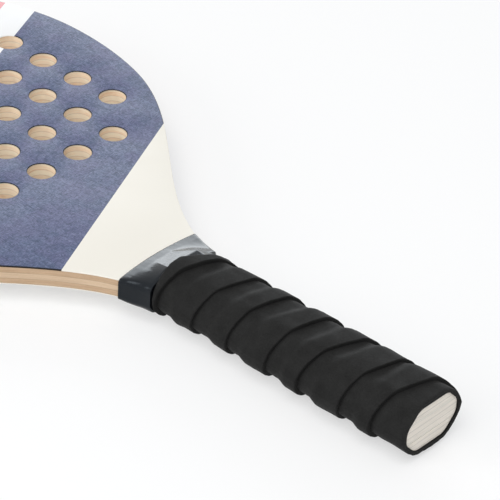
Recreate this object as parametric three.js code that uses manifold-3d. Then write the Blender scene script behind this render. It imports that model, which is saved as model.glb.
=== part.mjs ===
// A wooden beach tennis racket, in millimetres.
// +X runs from the tip of the head to the butt, +Y across the face and +Z out of the front face.
// The origin is the centre of the racket's box, in the middle of the blade's thickness.

import * as THREE from "three";
import { mergeVertices } from "three/addons/utils/BufferGeometryUtils.js";
import Module from "manifold-3d";

// Outline of the blade, seen from the front
const overallLength = 448;
const headHalfWidth = 118;
const headTipLength = 118.5; // from the head's centre to its tip
const headThroatLength = 140.6; // half length of the longer ellipse that the lower half follows
const throatStartAngle = 68.8; // degrees on that ellipse where the throat curve leaves it
const throatPullShare = 0.337; // how far the throat curve keeps the head's direction, of its span
const neckPullShare = 0.308; // how far it keeps the neck's direction, of its span
const neckHalfWidth = 20.7; // at the shoulder under the front end of the grip
const neckTaperShare = 0.164; // how much the neck narrows on each side for its length

// Thicknesses of the plywood, and the two cheeks that thicken the handle
const bladeThickness = 10;
const veneerThickness = 0.7;
const cheekInnerThickness = 2.2;
const cheekMiddleThickness = 2.9;
const cheekOuterThickness = 0.9;

// Handle, an octagon under the grip
const gripLength = 143;
const handleWidth = 34;
const handleChamfer = 7.5;
const rampLength = 14; // the cheeks rise to their full height over this length
const rampSetback = 1.3; // from the top of the ramp to the shoulder
const noseHalfWidth = 4.5; // half the width of the cheek's tapered front end
const noseHeight = 0.5; // height of the buried end that the nose is drawn from

// Holes, on a square grid round the head's centre
const holePitch = 24;
const holeDiameter = 13.3;
const holeEdgeWeb = 5.85; // least wood left between a hole and the round edge of the head

// Glossy tape round the neck
const neckTapeWidth = 17;
const neckTapeThickness = 0.45;
const neckTapeClearance = 0.3;
const softEdgeShare = 0.7; // of the tape's distance from the wood, cut off at the blade's edges

// Grip tape, wound in a lapped helix from the butt up to the shoulder
const gripTapeWidth = 26;
const gripTapeThickness = 1.9;
const gripPitch = 21;
const gripClearance = 0.35; // from the wood to the tape
const lapGap = 0.5; // between the two layers where a turn laps the next one
const lapRise = 6.8; // the tape climbs onto the next turn over this length
const lapStandoff = 0.8; // from the top of that climb to the next turn's edge
const firstLapDistance = 4.4; // from the grip's front end to the first lapped edge, at the -Y side
const softCornerRadius = 1.5; // added to the tape's own bend round each corner of the octagon
const tapeOverrun = 2; // how far the strip runs past the butt before it is trimmed
const beddingShare = 0.25; // of a turn, in which the last turn loses its climb at the butt

// One overrun serves all cuts
const cutOverrun = 5;

// Counts
const tipSegments = 13; // on each side, as are the next two
const widestSegments = 5;
const throatSegments = 8;
const holeSides = 10;
const handleSides = 8;
const stepsPerCorner = 3;

// Worked out from the values above
const tipX = -overallLength / 2;
const buttX = overallLength / 2;
const headX = tipX + headTipLength;
const shoulderX = buttX - gripLength;
const tapeFrontX = shoulderX - neckTapeWidth;
const rampTopX = shoulderX - rampSetback;
const rampFootX = rampTopX - rampLength;
const handleHalfWidth = handleWidth / 2;
const bladeTop = bladeThickness / 2;
const veneerBottom = bladeTop - veneerThickness;
const corePlyThickness = (bladeThickness - 2 * veneerThickness) / 3;
const middlePlyTop = corePlyThickness / 2;
const cheekInnerTop = bladeTop + cheekInnerThickness;
const cheekMiddleTop = cheekInnerTop + cheekMiddleThickness;
const handleTop = cheekMiddleTop + cheekOuterThickness;
const chamferBottom = handleTop - handleChamfer;
const chamferTopY = handleHalfWidth - handleChamfer;
const stepsPerTurn = handleSides * stepsPerCorner;

const wasm = await Module();
wasm.setup();

function toSolid(geometry) {
  const bare = geometry.clone();
  bare.deleteAttribute("normal");
  bare.deleteAttribute("uv");
  const merged = mergeVertices(bare);
  const vertProperties = merged.attributes.position.array;
  const triVerts = new Uint32Array(merged.index.array);
  return new wasm.Manifold(new wasm.Mesh({ numProp: 3, vertProperties, triVerts }));
}

function toGeometry(solid) {
  const mesh = solid.getMesh();
  const geometry = new THREE.BufferGeometry();
  geometry.setAttribute("position", new THREE.BufferAttribute(mesh.vertProperties, 3));
  geometry.setIndex(new THREE.BufferAttribute(mesh.triVerts, 1));
  return geometry;
}

// A closed strip or tube through sections of equal point count, with flat ends or joined end to end.
function loft(sections, joined, endContour) {
  const count = sections[0].length;
  const positions = sections.flat().flatMap((point) => point.toArray());
  const index = [];
  const spans = joined ? sections.length : sections.length - 1;
  for (let row = 0; row < spans; row += 1) {
    const here = row * count;
    const there = ((row + 1) % sections.length) * count;
    for (let i = 0; i < count; i += 1) {
      const next = (i + 1) % count;
      index.push(here + i, there + i, there + next);
      index.push(here + i, there + next, here + next);
    }
  }
  if (!joined) {
    const last = (sections.length - 1) * count;
    for (const [a, b, c] of THREE.ShapeUtils.triangulateShape(endContour, [])) {
      index.push(a, b, c);
      index.push(last + c, last + b, last + a);
    }
  }
  const geometry = new THREE.BufferGeometry();
  geometry.setAttribute("position", new THREE.Float32BufferAttribute(positions, 3));
  geometry.setIndex(index);
  return toSolid(geometry).volume() < 0 ? turnedInsideOut(geometry) : geometry;
}

function turnedInsideOut(geometry) {
  const index = Array.from(geometry.index.array);
  geometry.setIndex(index.reverse());
  return geometry;
}

// A point on one of the head's two ellipses, at an angle from the +X direction.
function headPoint(halfLength, angle) {
  return new THREE.Vector2(
    headX + halfLength * Math.cos(angle),
    headHalfWidth * Math.sin(angle),
  );
}

// The throat, from the head's ellipse to the shoulder. It leaves along the ellipse.
function throatOutline() {
  const angle = THREE.MathUtils.degToRad(throatStartAngle);
  const start = headPoint(headThroatLength, angle);
  const along = new THREE.Vector2(
    headThroatLength * Math.sin(angle),
    -headHalfWidth * Math.cos(angle),
  ).normalize();
  const end = new THREE.Vector2(shoulderX, neckHalfWidth);
  const neckward = new THREE.Vector2(1, -neckTaperShare).normalize();
  const span = start.distanceTo(end);
  const curve = new THREE.CubicBezierCurve(
    start,
    start.clone().addScaledVector(along, throatPullShare * span),
    end.clone().addScaledVector(neckward, -neckPullShare * span),
    end,
  );
  return curve.getPoints(throatSegments);
}

// The blade's +Y side, from the tip to the butt.
function sideOutline() {
  const points = [];
  for (let i = 0; i < tipSegments; i += 1) {
    points.push(headPoint(headTipLength, Math.PI - ((i / tipSegments) * Math.PI) / 2));
  }
  const throatStart = THREE.MathUtils.degToRad(throatStartAngle);
  for (let i = 0; i < widestSegments; i += 1) {
    const angle = THREE.MathUtils.lerp(Math.PI / 2, throatStart, i / widestSegments);
    points.push(headPoint(headThroatLength, angle));
  }
  points.push(...throatOutline());
  points.push(new THREE.Vector2(shoulderX, handleHalfWidth));
  points.push(new THREE.Vector2(buttX, handleHalfWidth));
  return points;
}

// The blade's half width at a place along it, on the straight stretch of outline that holds it.
function halfWidthAt(x) {
  const points = sideOutline();
  const next = points.findIndex((point, i) => i > 0 && point.x >= x);
  const from = points[next - 1];
  const to = points[next];
  return THREE.MathUtils.mapLinear(x, from.x, to.x, from.y, to.y);
}

// The whole outline with its holes: the +Y side, and the same points mirrored on the way back.
function bladeShape() {
  const side = sideOutline();
  const mirrored = side.slice(1).map((point) => new THREE.Vector2(point.x, -point.y));
  const shape = new THREE.Shape([...side, ...mirrored.reverse()]);
  shape.holes = holePaths();
  return shape;
}

// Rows and columns lie half a pitch either side of the head's centre, wherever a hole fits the head.
function holePaths() {
  const margin = holeDiameter / 2 + holeEdgeWeb;
  const reachX = headTipLength - margin;
  const reachY = headHalfWidth - margin;
  const reach = Math.ceil(Math.max(reachX, reachY) / holePitch);
  const paths = [];
  for (let column = -reach; column < reach; column += 1) {
    for (let row = -reach; row < reach; row += 1) {
      const x = (column + 0.5) * holePitch;
      const y = (row + 0.5) * holePitch;
      if (Math.hypot(x / reachX, y / reachY) > 1) continue;
      if (halfWidthAt(headX + x) - Math.abs(y) < margin) continue;
      paths.push(holePath(headX + x, y));
    }
  }
  return paths;
}

function holePath(x, y) {
  const points = [];
  for (let i = 0; i < holeSides; i += 1) {
    const angle = ((i + 0.5) / holeSides) * 2 * Math.PI;
    const offset = new THREE.Vector2(Math.cos(angle), Math.sin(angle));
    points.push(offset.multiplyScalar(holeDiameter / 2).add(new THREE.Vector2(x, y)));
  }
  return new THREE.Path(points);
}

// A plate between two levels. Neighbours share a level, so their faces touch exactly.
function plate(shape, bottom, top) {
  const thickness = top - bottom;
  const geometry = new THREE.ExtrudeGeometry(shape, { depth: thickness, bevelEnabled: false });
  const position = geometry.attributes.position;
  for (let i = 0; i < position.count; i += 1) {
    position.setZ(i, position.getZ(i) > thickness / 2 ? top : bottom);
  }
  return geometry;
}

// Prisms along X that trim the handle's four long edges to the octagon.
function handleEdgeCutters() {
  const reachY = handleHalfWidth + cutOverrun;
  const reachZ = handleTop + cutOverrun;
  const profile = [
    [reachY, chamferBottom - cutOverrun],
    [reachY, reachZ],
    [chamferTopY - cutOverrun, reachZ],
  ];
  const alongX = new THREE.Matrix4().makeBasis(
    new THREE.Vector3(0, 1, 0),
    new THREE.Vector3(0, 0, 1),
    new THREE.Vector3(1, 0, 0),
  );
  const cutters = [];
  for (const sideY of [1, -1]) {
    for (const sideZ of [1, -1]) {
      const corners = profile.map(([y, z]) => new THREE.Vector2(sideY * y, sideZ * z));
      const prism = new THREE.ExtrudeGeometry(new THREE.Shape(corners), {
        depth: gripLength + cutOverrun,
        bevelEnabled: false,
      });
      prism.applyMatrix4(alongX).translate(shoulderX, 0, 0);
      cutters.push(toSolid(prism));
    }
  }
  return cutters;
}

function bladePly(bottom, top) {
  let solid = toSolid(plate(bladeShape(), bottom, top));
  for (const cutter of handleEdgeCutters()) {
    solid = solid.subtract(cutter);
  }
  return toGeometry(solid);
}

// A trapezoid across the handle, from the level where the chamfers start up to the given height.
function cheekSection(x, baseHalfWidth, topHalfWidth, height) {
  return [
    new THREE.Vector3(x, -baseHalfWidth, chamferBottom),
    new THREE.Vector3(x, baseHalfWidth, chamferBottom),
    new THREE.Vector3(x, topHalfWidth, chamferBottom + height),
    new THREE.Vector3(x, -topHalfWidth, chamferBottom + height),
  ];
}

// The ramp's height above the blade's middle at a place along it.
function rampLevel(x) {
  const slope = (handleTop - bladeTop) / rampLength;
  return Math.min(handleTop, bladeTop + (x - rampFootX) * slope);
}

// Half the width of the cheek's flat top along the ramp.
function rampHalfWidth(x) {
  const climbed = (rampLevel(x) - bladeTop) / (handleTop - bladeTop);
  return THREE.MathUtils.lerp(noseHalfWidth, chamferTopY, Math.max(0, climbed));
}

// One cheek with its tapered nose, cut to the layer between two levels.
function cheekPly(bottom, top) {
  const slope = (handleTop - bladeTop) / rampLength;
  const buriedX = rampFootX - (bladeTop - chamferBottom - noseHeight) / slope;
  const sections = [
    cheekSection(buriedX, noseHalfWidth + noseHeight, noseHalfWidth, noseHeight),
    cheekSection(rampTopX, handleHalfWidth, chamferTopY, handleChamfer),
    cheekSection(buttX, handleHalfWidth, chamferTopY, handleChamfer),
  ];
  const contour = sections[1].map((point) => new THREE.Vector2(point.y, point.z));
  const cheek = toSolid(loft(sections, false, contour));
  const layer = new THREE.Shape([
    new THREE.Vector2(buriedX - cutOverrun, -handleWidth),
    new THREE.Vector2(buttX + cutOverrun, -handleWidth),
    new THREE.Vector2(buttX + cutOverrun, handleWidth),
    new THREE.Vector2(buriedX - cutOverrun, handleWidth),
  ]);
  const reach = top === handleTop ? top + cutOverrun : top;
  return toGeometry(cheek.intersect(toSolid(plate(layer, bottom, reach))));
}

// A ring round the neck at one place: soft corners at the blade's edges, a crease along each ramp.
function neckRing(x, offset) {
  const width = halfWidthAt(x) + offset;
  const level = bladeTop + offset;
  const corner = softEdgeShare * offset;
  const crease = rampHalfWidth(x);
  const creaseLevel = Math.max(bladeTop, rampLevel(x)) + offset;
  const quarter = [
    [width, level - corner],
    [width - corner, level],
    [crease, creaseLevel],
  ];
  const mirrored = [...quarter].reverse();
  const ring = [
    ...quarter,
    ...mirrored.map(([y, z]) => [-y, z]),
    ...quarter.map(([y, z]) => [-y, -z]),
    ...mirrored.map(([y, z]) => [y, -z]),
  ];
  return ring.map(([y, z]) => new THREE.Vector3(x, y, z));
}

// Thin tape stretched round the neck and over both ramps, open at its two ends.
function neckTape() {
  const bends = [rampFootX, rampTopX, ...throatOutline().map((point) => point.x)];
  const covered = bends.filter((x) => x > tapeFrontX && x < shoulderX);
  const stations = [tapeFrontX, ...covered.sort((a, b) => a - b), shoulderX];
  const inner = stations.map((x) => neckRing(x, neckTapeClearance));
  const outer = stations.map((x) => neckRing(x, neckTapeClearance + neckTapeThickness));
  return loft([...outer, ...inner.reverse()], true);
}

// The places round the handle where the grip bends: three for each corner of the octagon.
// Each gives the centre of the corner's bend, and the direction from it.
// They run from the -Y side over the front to the +Y side and back under, as the tape does.
function bendPlaces() {
  const places = [];
  const inset = softCornerRadius / Math.cos(Math.PI / handleSides);
  for (let corner = 0; corner < handleSides; corner += 1) {
    const middle = Math.PI - ((corner + 0.5) / handleSides) * 2 * Math.PI;
    const onRow = corner % (handleSides / 2);
    const steep = onRow === 0 || onRow === handleSides / 2 - 1;
    const cornerY = steep ? handleHalfWidth : chamferTopY;
    const cornerZ = steep ? chamferBottom : handleTop;
    const centreY = Math.sign(Math.cos(middle)) * cornerY - inset * Math.cos(middle);
    const centreZ = Math.sign(Math.sin(middle)) * cornerZ - inset * Math.sin(middle);
    for (let step = 0; step < stepsPerCorner; step += 1) {
      const turned = (step / (stepsPerCorner - 1) - 0.5) / handleSides;
      const angle = middle - turned * 2 * Math.PI;
      places.push({ centreY, centreZ, angle });
    }
  }
  return places;
}

function bendPoint(place, depth) {
  const radius = softCornerRadius + depth;
  const y = place.centreY + radius * Math.cos(place.angle);
  const z = place.centreZ + radius * Math.sin(place.angle);
  return [y, z];
}

// How far round the handle each bend lies, as a share of the whole way, measured on the wood.
function bendShares(places) {
  const points = places.map((place) => new THREE.Vector2(...bendPoint(place, 0)));
  const lengths = points.map((point, i) => point.distanceTo(points[(i + 1) % points.length]));
  const whole = lengths.reduce((sum, length) => sum + length, 0);
  let gone = points[0].distanceTo(new THREE.Vector2(-handleHalfWidth, 0));
  return lengths.map((length) => {
    const share = gone / whole;
    gone += length;
    return share;
  });
}

// The strip's section: distances from its front edge, and depths from the wood outwards.
// Its rear part is lifted by the given height, to lie over the next turn.
function gripContour(lift) {
  const climbEnd = gripPitch - lapStandoff;
  const climbStart = climbEnd - lapRise;
  const inside = [
    [0, gripClearance],
    [climbStart, gripClearance],
    [climbEnd, gripClearance + lift],
    [gripTapeWidth, gripClearance + lift],
  ];
  const outside = inside.map(([along, depth]) => [along, depth + gripTapeThickness]);
  return [...inside, ...outside.reverse()];
}

// The grip tape: one unbroken strip wound round the handle, with each turn lapping the next.
function gripTape() {
  const places = bendPlaces();
  const shares = bendShares(places);
  const frontX = shoulderX + gripClearance;
  const firstX = frontX + firstLapDistance - gripTapeWidth - gripPitch;
  const lastX = buttX + tapeOverrun;
  const fullLift = gripTapeThickness + lapGap;
  const sections = [];
  for (let step = 0; ; step += 1) {
    const turn = Math.floor(step / stepsPerTurn);
    const place = places[step % stepsPerTurn];
    const edgeX = firstX + (turn + shares[step % stepsPerTurn]) * gripPitch;
    if (edgeX > lastX) break;
    // The last turn has nothing to climb onto, so its climb fades away there.
    const turnsLeft = (lastX - edgeX) / gripPitch - 1;
    const climbed = THREE.MathUtils.clamp(1 + turnsLeft / beddingShare, 0, 1);
    const section = gripContour(climbed * fullLift).map(([along, depth]) => {
      const [y, z] = bendPoint(place, depth);
      return new THREE.Vector3(edgeX + along, y, z);
    });
    sections.push(section);
  }
  console.log(`grip tape: least gap to itself ${leastGap(sections).toFixed(3)} mm`);
  const contour = gripContour(fullLift).map(([along, depth]) => new THREE.Vector2(along, depth));
  const strip = toSolid(loft(sections, false, contour));
  const reach = handleWidth + cutOverrun;
  const keep = new THREE.BoxGeometry(buttX - frontX, 2 * reach, 2 * reach);
  keep.translate((buttX + frontX) / 2, 0, 0);
  return toGeometry(strip.intersect(toSolid(keep)));
}

// The least distance between points on each section and points on the sections one turn on.
function leastGap(sections) {
  const pointsPerEdge = 4;
  const outlines = sections.map((section) =>
    section.flatMap((point, i) => {
      const next = section[(i + 1) % section.length];
      const points = [];
      for (let k = 0; k < pointsPerEdge; k += 1) {
        points.push(point.clone().lerp(next, k / pointsPerEdge));
      }
      return points;
    }),
  );
  let least = Infinity;
  for (let here = 0; here + stepsPerTurn < outlines.length; here += 1) {
    for (const shift of [-1, 0, 1]) {
      const there = here + stepsPerTurn + shift;
      if (there >= outlines.length) continue;
      for (const a of outlines[here]) {
        for (const b of outlines[there]) {
          least = Math.min(least, a.distanceTo(b));
        }
      }
    }
  }
  return least;
}

function piece(name, geometry, finish) {
  const mesh = new THREE.Mesh(geometry, new THREE.MeshStandardMaterial(finish));
  mesh.name = name;
  return mesh;
}

const lightPly = { color: 0xd8c0a4, roughness: 0.75, metalness: 0 };
const darkPly = { color: 0xc4a686, roughness: 0.75, metalness: 0 };
const faceLacquer = { color: 0xf0ede0, roughness: 0.4, metalness: 0 };
const glossyTape = { color: 0x1c2026, roughness: 0.12, metalness: 0 };
const gripFoam = { color: 0x262627, roughness: 0.9, metalness: 0 };

// The layers of one half, above the middle ply. The back half is the front half turned over.
function layers(side) {
  const group = new THREE.Group();
  group.add(
    piece(`${side}_core_ply`, bladePly(middlePlyTop, veneerBottom), darkPly),
    piece(`${side}_face_veneer`, bladePly(veneerBottom, bladeTop), faceLacquer),
    piece(`${side}_cheek_inner_ply`, cheekPly(bladeTop, cheekInnerTop), lightPly),
    piece(`${side}_cheek_middle_ply`, cheekPly(cheekInnerTop, cheekMiddleTop), darkPly),
    piece(`${side}_cheek_outer_ply`, cheekPly(cheekMiddleTop, handleTop), lightPly),
  );
  return group;
}

const racket = new THREE.Group();
const front = layers("front");
const back = layers("back");
back.rotation.x = Math.PI;
racket.add(
  piece("middle_core_ply", bladePly(-middlePlyTop, middlePlyTop), lightPly),
  front,
  back,
  piece("neck_tape", neckTape(), glossyTape),
  piece("grip_tape", gripTape(), gripFoam),
);

export default racket;
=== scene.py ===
# A wooden beach tennis racket: five glued plies with drilled holes and printed faces, a handle
# thickened by two cheeks, glossy tape round the neck and a wound foam grip.
# Meshes are shaped in millimetres, and each is turned into metres when it is finished.

import math

import bmesh
import bpy
from mathutils import Matrix, Quaternion, Vector
from mathutils.geometry import interpolate_bezier
from mathutils.noise import noise


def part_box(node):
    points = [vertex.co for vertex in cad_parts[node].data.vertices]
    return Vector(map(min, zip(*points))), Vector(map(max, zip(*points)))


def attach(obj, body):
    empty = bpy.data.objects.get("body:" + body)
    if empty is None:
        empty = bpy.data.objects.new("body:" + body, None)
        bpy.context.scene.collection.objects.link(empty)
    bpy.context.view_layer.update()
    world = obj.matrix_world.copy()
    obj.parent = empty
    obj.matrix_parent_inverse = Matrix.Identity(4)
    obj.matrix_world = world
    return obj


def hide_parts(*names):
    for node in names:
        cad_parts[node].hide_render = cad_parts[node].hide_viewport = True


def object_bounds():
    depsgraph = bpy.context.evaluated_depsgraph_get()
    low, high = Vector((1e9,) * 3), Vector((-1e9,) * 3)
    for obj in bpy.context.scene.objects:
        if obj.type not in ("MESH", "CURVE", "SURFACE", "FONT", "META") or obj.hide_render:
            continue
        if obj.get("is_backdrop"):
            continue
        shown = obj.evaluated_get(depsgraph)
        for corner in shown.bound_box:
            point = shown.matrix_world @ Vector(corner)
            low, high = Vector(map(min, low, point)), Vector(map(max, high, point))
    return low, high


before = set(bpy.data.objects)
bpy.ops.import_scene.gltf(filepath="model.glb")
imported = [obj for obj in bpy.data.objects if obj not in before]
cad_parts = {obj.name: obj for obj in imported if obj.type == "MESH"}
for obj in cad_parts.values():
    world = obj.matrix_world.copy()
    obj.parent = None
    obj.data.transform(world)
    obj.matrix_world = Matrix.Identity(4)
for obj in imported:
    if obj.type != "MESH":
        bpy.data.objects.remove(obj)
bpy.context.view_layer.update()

MM = 0.001
HALF_TURN = math.pi
QUARTER_TURN = math.pi / 2
FULL_TURN = 2 * math.pi


# Camera

CAMERA_PLACE = Vector((0.7890, -0.7947, 0.7417))
CAMERA_AIM = Vector((0.0853, 0.0397, 0.0))
CAMERA_ROLL = math.radians(3.47)
CAMERA_LENS = 208.95
CAMERA_CLIP_END = 20


def make_camera():
    data = bpy.data.cameras.new("camera")
    data.lens = CAMERA_LENS
    data.clip_end = CAMERA_CLIP_END
    camera = bpy.data.objects.new("camera", data)
    bpy.context.scene.collection.objects.link(camera)
    facing = (CAMERA_AIM - CAMERA_PLACE).to_track_quat("-Z", "Y")
    camera.location = CAMERA_PLACE
    camera.rotation_mode = "QUATERNION"
    camera.rotation_quaternion = facing @ Quaternion((0, 0, 1), CAMERA_ROLL)
    bpy.context.scene.camera = camera


# Sizes in millimetres, the first of them from the frame


def node_box(node):
    low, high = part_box(node)
    return low / MM, high / MM


BLADE_LOW, BLADE_HIGH = node_box("middle_core_ply")
TIP_X = BLADE_LOW.x
BUTT_X = BLADE_HIGH.x
HEAD_HALF_WIDTH = BLADE_HIGH.y
MIDDLE_PLY_TOP = BLADE_HIGH.z
VENEER_BOTTOM = node_box("front_face_veneer")[0].z
BLADE_TOP = node_box("front_face_veneer")[1].z
CHEEK_INNER_TOP = node_box("front_cheek_inner_ply")[1].z
CHEEK_MIDDLE_TOP = node_box("front_cheek_middle_ply")[1].z
HANDLE_TOP = node_box("front_cheek_outer_ply")[1].z
TAPE_FRONT_X = node_box("neck_tape")[0].x
SHOULDER_X = node_box("neck_tape")[1].x

# Outline of the blade
HEAD_TIP_LENGTH = 118.5
HEAD_THROAT_LENGTH = 140.6
HEAD_X = TIP_X + HEAD_TIP_LENGTH
THROAT_START = math.radians(68.8)
THROAT_PULL = 0.337
NECK_PULL = 0.308
NECK_HALF_WIDTH = 20.7
NECK_TAPER = 0.164
TIP_STEPS = 56
WIDEST_STEPS = 18
THROAT_STEPS = 48

# Holes
HOLE_PITCH = 24
HOLE_ROWS = 8
HOLE_RADIUS = 6.65
HOLE_STEPS = 40

# The printed faces' edges are sanded round.
SOFT_EDGE = 0.4
SOFT_EDGE_SLICES = 3

# Handle, a rounded octagon
HANDLE_HALF_WIDTH = 17
HANDLE_CHAMFER = 7.5
HANDLE_ROUNDING = 6.5
HANDLE_SIDES = 8
CORNER_TURN = FULL_TURN / HANDLE_SIDES
CORNER_SLICES = 4
RAMP_LENGTH = 14
RAMP_SETBACK = 1.3
RAMP_TOP_X = SHOULDER_X - RAMP_SETBACK
RAMP_FOOT_X = RAMP_TOP_X - RAMP_LENGTH
NOSE_HALF_WIDTH = 4.5
CHAMFER_BOTTOM = HANDLE_TOP - HANDLE_CHAMFER
CHAMFER_TOP_Y = HANDLE_HALF_WIDTH - HANDLE_CHAMFER
CORNER_TANGENT = HANDLE_ROUNDING * math.tan(CORNER_TURN / 2)
SIDE_END = CHAMFER_BOTTOM - CORNER_TANGENT
TOP_CENTRE = HANDLE_TOP - HANDLE_ROUNDING
LEVEL_MARGIN = 0.01

# How far a face may tilt and still count as a hole's wall or as a side of the handle
WALL_TILT = 0.1
SIDE_TILT = 0.5
MERGE_DISTANCE = 1e-4


# Tools


def finish_piece(name, bm, materials, nodes, sharp_degrees=30):
    """Turns a shaped mesh into a piece of the racket that stands for its CAD nodes."""
    bmesh.ops.recalc_face_normals(bm, faces=bm.faces)
    bmesh.ops.scale(bm, vec=(MM, MM, MM), verts=bm.verts)
    mesh = bpy.data.meshes.new(name)
    bm.to_mesh(mesh)
    bm.free()
    mesh.shade_smooth()
    mesh.set_sharp_from_angle(angle=math.radians(sharp_degrees))
    for material in materials:
        mesh.materials.append(material)
    piece = bpy.data.objects.new(name, mesh)
    bpy.context.scene.collection.objects.link(piece)
    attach(piece, "root")
    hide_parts(*nodes)
    return piece


def everything(bm):
    return bm.verts[:] + bm.edges[:] + bm.faces[:]


def only(kind, geometry):
    return [item for item in geometry if isinstance(item, kind)]


def cut_away(bm, place, normal):
    """Takes off what lies on the normal's side of a plane, and closes the cut."""
    cut = bmesh.ops.bisect_plane(
        bm, geom=everything(bm), plane_co=place, plane_no=normal, clear_outer=True
    )
    bmesh.ops.holes_fill(bm, edges=only(bmesh.types.BMEdge, cut["geom_cut"]))


def blend(first, second, share):
    return first + (second - first) * share


def smoothstep(value, start, end):
    share = min(1, max(0, (value - start) / (end - start)))
    return share * share * (3 - 2 * share)


# Blade


def throat_points():
    start = Vector((
        HEAD_X + HEAD_THROAT_LENGTH * math.cos(THROAT_START),
        HEAD_HALF_WIDTH * math.sin(THROAT_START),
    ))
    along = Vector((
        HEAD_THROAT_LENGTH * math.sin(THROAT_START),
        -HEAD_HALF_WIDTH * math.cos(THROAT_START),
    )).normalized()
    end = Vector((SHOULDER_X, NECK_HALF_WIDTH))
    neckward = Vector((1, -NECK_TAPER)).normalized()
    span = (end - start).length
    first_pull = start + along * THROAT_PULL * span
    second_pull = end - neckward * NECK_PULL * span
    return interpolate_bezier(start, first_pull, second_pull, end, THROAT_STEPS)


def side_outline(own_half_width):
    """The blade's +Y side, from the tip to the butt."""
    points = []
    for step in range(TIP_STEPS):
        angle = HALF_TURN - QUARTER_TURN * step / TIP_STEPS
        points.append((
            HEAD_X + HEAD_TIP_LENGTH * math.cos(angle),
            HEAD_HALF_WIDTH * math.sin(angle),
        ))
    for step in range(WIDEST_STEPS):
        angle = QUARTER_TURN + (THROAT_START - QUARTER_TURN) * step / WIDEST_STEPS
        points.append((
            HEAD_X + HEAD_THROAT_LENGTH * math.cos(angle),
            HEAD_HALF_WIDTH * math.sin(angle),
        ))
    points += [tuple(point) for point in throat_points()]
    points.append((SHOULDER_X, own_half_width))
    points.append((BUTT_X, own_half_width))
    return points


def neck_half_width(x):
    points = throat_points()
    for here, there in zip(points, points[1:]):
        if there.x >= x:
            return here.y + (there.y - here.y) * (x - here.x) / (there.x - here.x)
    return NECK_HALF_WIDTH


def hole_places():
    """A square grid round the head's centre, without its four corners."""
    middle = (HOLE_ROWS - 1) / 2
    places = []
    for column in range(HOLE_ROWS):
        for row in range(HOLE_ROWS):
            across, up = column - middle, row - middle
            if abs(across) == middle and abs(up) == middle:
                continue
            places.append((HEAD_X + across * HOLE_PITCH, up * HOLE_PITCH))
    return places


def handle_half_width(level):
    """Half the width of the handle's rounded octagon at a height above the middle plane."""
    level = abs(level)
    diagonal = HANDLE_ROUNDING * math.sin(CORNER_TURN)
    if level <= SIDE_END:
        return HANDLE_HALF_WIDTH
    if level < SIDE_END + diagonal:
        fall = HANDLE_ROUNDING - math.sqrt(HANDLE_ROUNDING**2 - (level - SIDE_END) ** 2)
        return HANDLE_HALF_WIDTH - fall
    if level < TOP_CENTRE + diagonal:
        return HANDLE_HALF_WIDTH - (level - CHAMFER_BOTTOM)
    rise = min(HANDLE_ROUNDING, level - TOP_CENTRE)
    centre_y = CHAMFER_TOP_Y - CORNER_TANGENT
    return centre_y + math.sqrt(HANDLE_ROUNDING**2 - rise**2)


def corner_levels(bottom, top):
    """The heights inside a ply at which the octagon's rounded corners get another slice."""
    levels = []
    for slice_number in range(CORNER_SLICES + 1):
        turn = CORNER_TURN * slice_number / CORNER_SLICES
        levels.append(SIDE_END + HANDLE_ROUNDING * math.sin(turn))
        levels.append(TOP_CENTRE + HANDLE_ROUNDING * math.sin(CORNER_TURN + turn))
    levels += [-level for level in levels]
    return [level for level in levels if bottom + LEVEL_MARGIN < level < top - LEVEL_MARGIN]


def fit_handle(bm, own_half_width, levels):
    """Gives the handle's long edges the octagon's outline, with more points at some levels."""
    for level in levels:
        sides = [face for face in bm.faces if is_handle_side(face, own_half_width)]
        edges = [edge for edge in bm.edges if any(face in sides for face in edge.link_faces)]
        verts = [vert for vert in bm.verts if any(face in sides for face in vert.link_faces)]
        bmesh.ops.bisect_plane(
            bm, geom=verts + edges + sides, plane_co=(0, 0, level), plane_no=(0, 0, 1)
        )
    for vert in bm.verts:
        beyond = vert.co.x > SHOULDER_X - LEVEL_MARGIN
        if beyond and abs(abs(vert.co.y) - own_half_width) < SOFT_EDGE:
            vert.co.y = math.copysign(handle_half_width(vert.co.z), vert.co.y)


def is_handle_side(face, own_half_width):
    middle = face.calc_center_median()
    upright = abs(face.normal.z) < SIDE_TILT
    return upright and middle.x > SHOULDER_X and abs(middle.y) > own_half_width - SOFT_EDGE


def flat_blade(level, own_half_width):
    """The outline and its holes, filled with one flat face at a level."""
    bm = bmesh.new()
    side = side_outline(own_half_width)
    ring = side + [(x, -y) for x, y in reversed(side[1:])]
    verts = [bm.verts.new((x, y, level)) for x, y in ring]
    for here, there in zip(verts, verts[1:] + verts[:1]):
        bm.edges.new((here, there))
    for x, y in hole_places():
        place = Matrix.Translation((x, y, level))
        bmesh.ops.create_circle(bm, segments=HOLE_STEPS, radius=HOLE_RADIUS, matrix=place)
    bmesh.ops.triangle_fill(bm, edges=bm.edges[:], use_beauty=True, normal=(0, 0, 1))
    return bm


def sort_by_place(items):
    """Puts edges or faces in an order that hangs on nothing but where they lie."""
    placed = sorted(items, key=lambda item: sum((vert.co for vert in item.verts), Vector())[:])
    for index, item in enumerate(placed):
        item.index = index
    items.sort()


def raise_faces(bm, height):
    """Extrudes a flat sheet upwards and returns its new top faces."""
    raised = bmesh.ops.extrude_face_region(bm, geom=bm.faces[:])
    top_verts = only(bmesh.types.BMVert, raised["geom"])
    bmesh.ops.translate(bm, vec=(0, 0, height), verts=top_verts)
    top = top_verts[0].co.z - LEVEL_MARGIN
    # The extrusion makes its walls in another order each run
    sort_by_place(bm.edges)
    sort_by_place(bm.faces)
    return [face for face in bm.faces if min(vert.co.z for vert in face.verts) > top]


def turn_over(bm):
    bmesh.ops.rotate(bm, cent=(0, 0, 0), matrix=Matrix.Rotation(HALF_TURN, 3, "X"), verts=bm.verts)


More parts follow.
